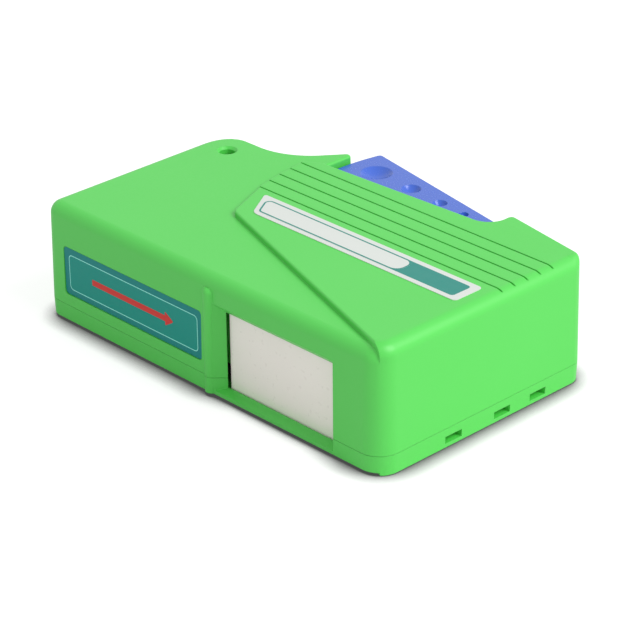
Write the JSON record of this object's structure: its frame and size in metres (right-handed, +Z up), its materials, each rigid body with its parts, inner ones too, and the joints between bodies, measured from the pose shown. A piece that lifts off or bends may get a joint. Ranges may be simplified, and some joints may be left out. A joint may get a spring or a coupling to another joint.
{
  "type": "fibre connector cleaning cassette",
  "caption": "Flat two-shell cassette with a squeeze lever at one side, a sliding window shutter at the other, and a geared tape wiper inside for fibre connector end faces.",
  "frame": {"origin": "centre of the overall box on the ground plane", "axes": "+X along the casing towards its end with the snap windows, +Y towards the squeeze lever, +Z up from the flat underside"},
  "size_m": [0.115, 0.0794, 0.0322],
  "materials": {
    "casing_green": "satin moulded",
    "lever_blue": "satin moulded",
    "shutter_grey": "satin",
    "gear_white": "moulded",
    "reel_black": "moulded",
    "tape_white": "woven microfibre",
    "pad_rubber": "soft",
    "spring_steel": "drawn",
    "label_white": "printed film",
    "label_teal": "printed film"
  },
  "bodies": {
    "casing": {"top_shell": "casing_green", "bottom_shell": "casing_green", "lever_pin": "spring_steel", "lever_spring": "spring_steel", "reverse_stop_leaf": "spring_steel", "supply_brake_washer": "spring_steel", "supply_spindle_clip": "spring_steel", "cleaning_tape": "tape_white", "tape_guide_pins": "spring_steel", "pad_carrier": "gear_white", "cleaning_pad": "pad_rubber", "name_plate": "label_white", "arrow_label": "label_teal"},
    "lever": {"squeeze_lever": "lever_blue"},
    "shutter": {"window_shutter": "shutter_grey", "shutter_rack": "reel_black"},
    "compound_wheel": {"compound_gear": "gear_white"},
    "tape_drive": {"drive_gear": "gear_white", "drive_pawl": "gear_white"},
    "take_up": {"take_up_reel": "reel_black", "take_up_ratchet_flange": "reel_black", "take_up_roll": "tape_white"},
    "supply": {"supply_reel": "reel_black", "supply_upper_flange": "reel_black", "supply_roll": "tape_white"}
  },
  "joints": [
    {"name": "lever_press", "type": "hinge", "parent": "casing", "child": "lever", "pos_m": [0.033, 0.02687, 0.016], "axis": [0, 0, 1], "range_deg": [0, 15], "stiffness_Nm_per_rad": 0.9, "springref_deg": -9.17, "deforming": ["lever_spring"]},
    {"name": "shutter_open", "type": "slide", "parent": "casing", "child": "shutter", "axis": [-1, 0, 0], "range_m": [0, 0.0368]},
    {"name": "compound_gear_turn", "type": "hinge", "parent": "casing", "child": "compound_wheel", "pos_m": [-0.00854, -0.01503, 0.005], "axis": [0, 0, 1], "range_deg": [-162.5, 0]},
    {"name": "drive_gear_turn", "type": "hinge", "parent": "casing", "child": "tape_drive", "pos_m": [0.02417, -0.00855, 0.026], "axis": [0, 0, 1], "range_deg": [-49.6, 0]},
    {"name": "take_up_turn", "type": "hinge", "parent": "casing", "child": "take_up", "pos_m": [0.02417, -0.00855, 0.014], "axis": [0, 0, 1], "continuous": true},
    {"name": "supply_turn", "type": "hinge", "parent": "casing", "child": "supply", "pos_m": [-0.034, -0.01203, 0.014], "axis": [0, 0, 1], "continuous": true}
  ],
  "couplings": [
    {"joint": "shutter_open", "follows": "lever_press", "m_per_rad": 0.1404},
    {"joint": "compound_gear_turn", "follows": "lever_press", "ratio": -10.8},
    {"joint": "drive_gear_turn", "follows": "lever_press", "ratio": -3.2941},
    {"joint": "supply_turn", "follows": "take_up_turn", "ratio": -0.63235}
  ]
}
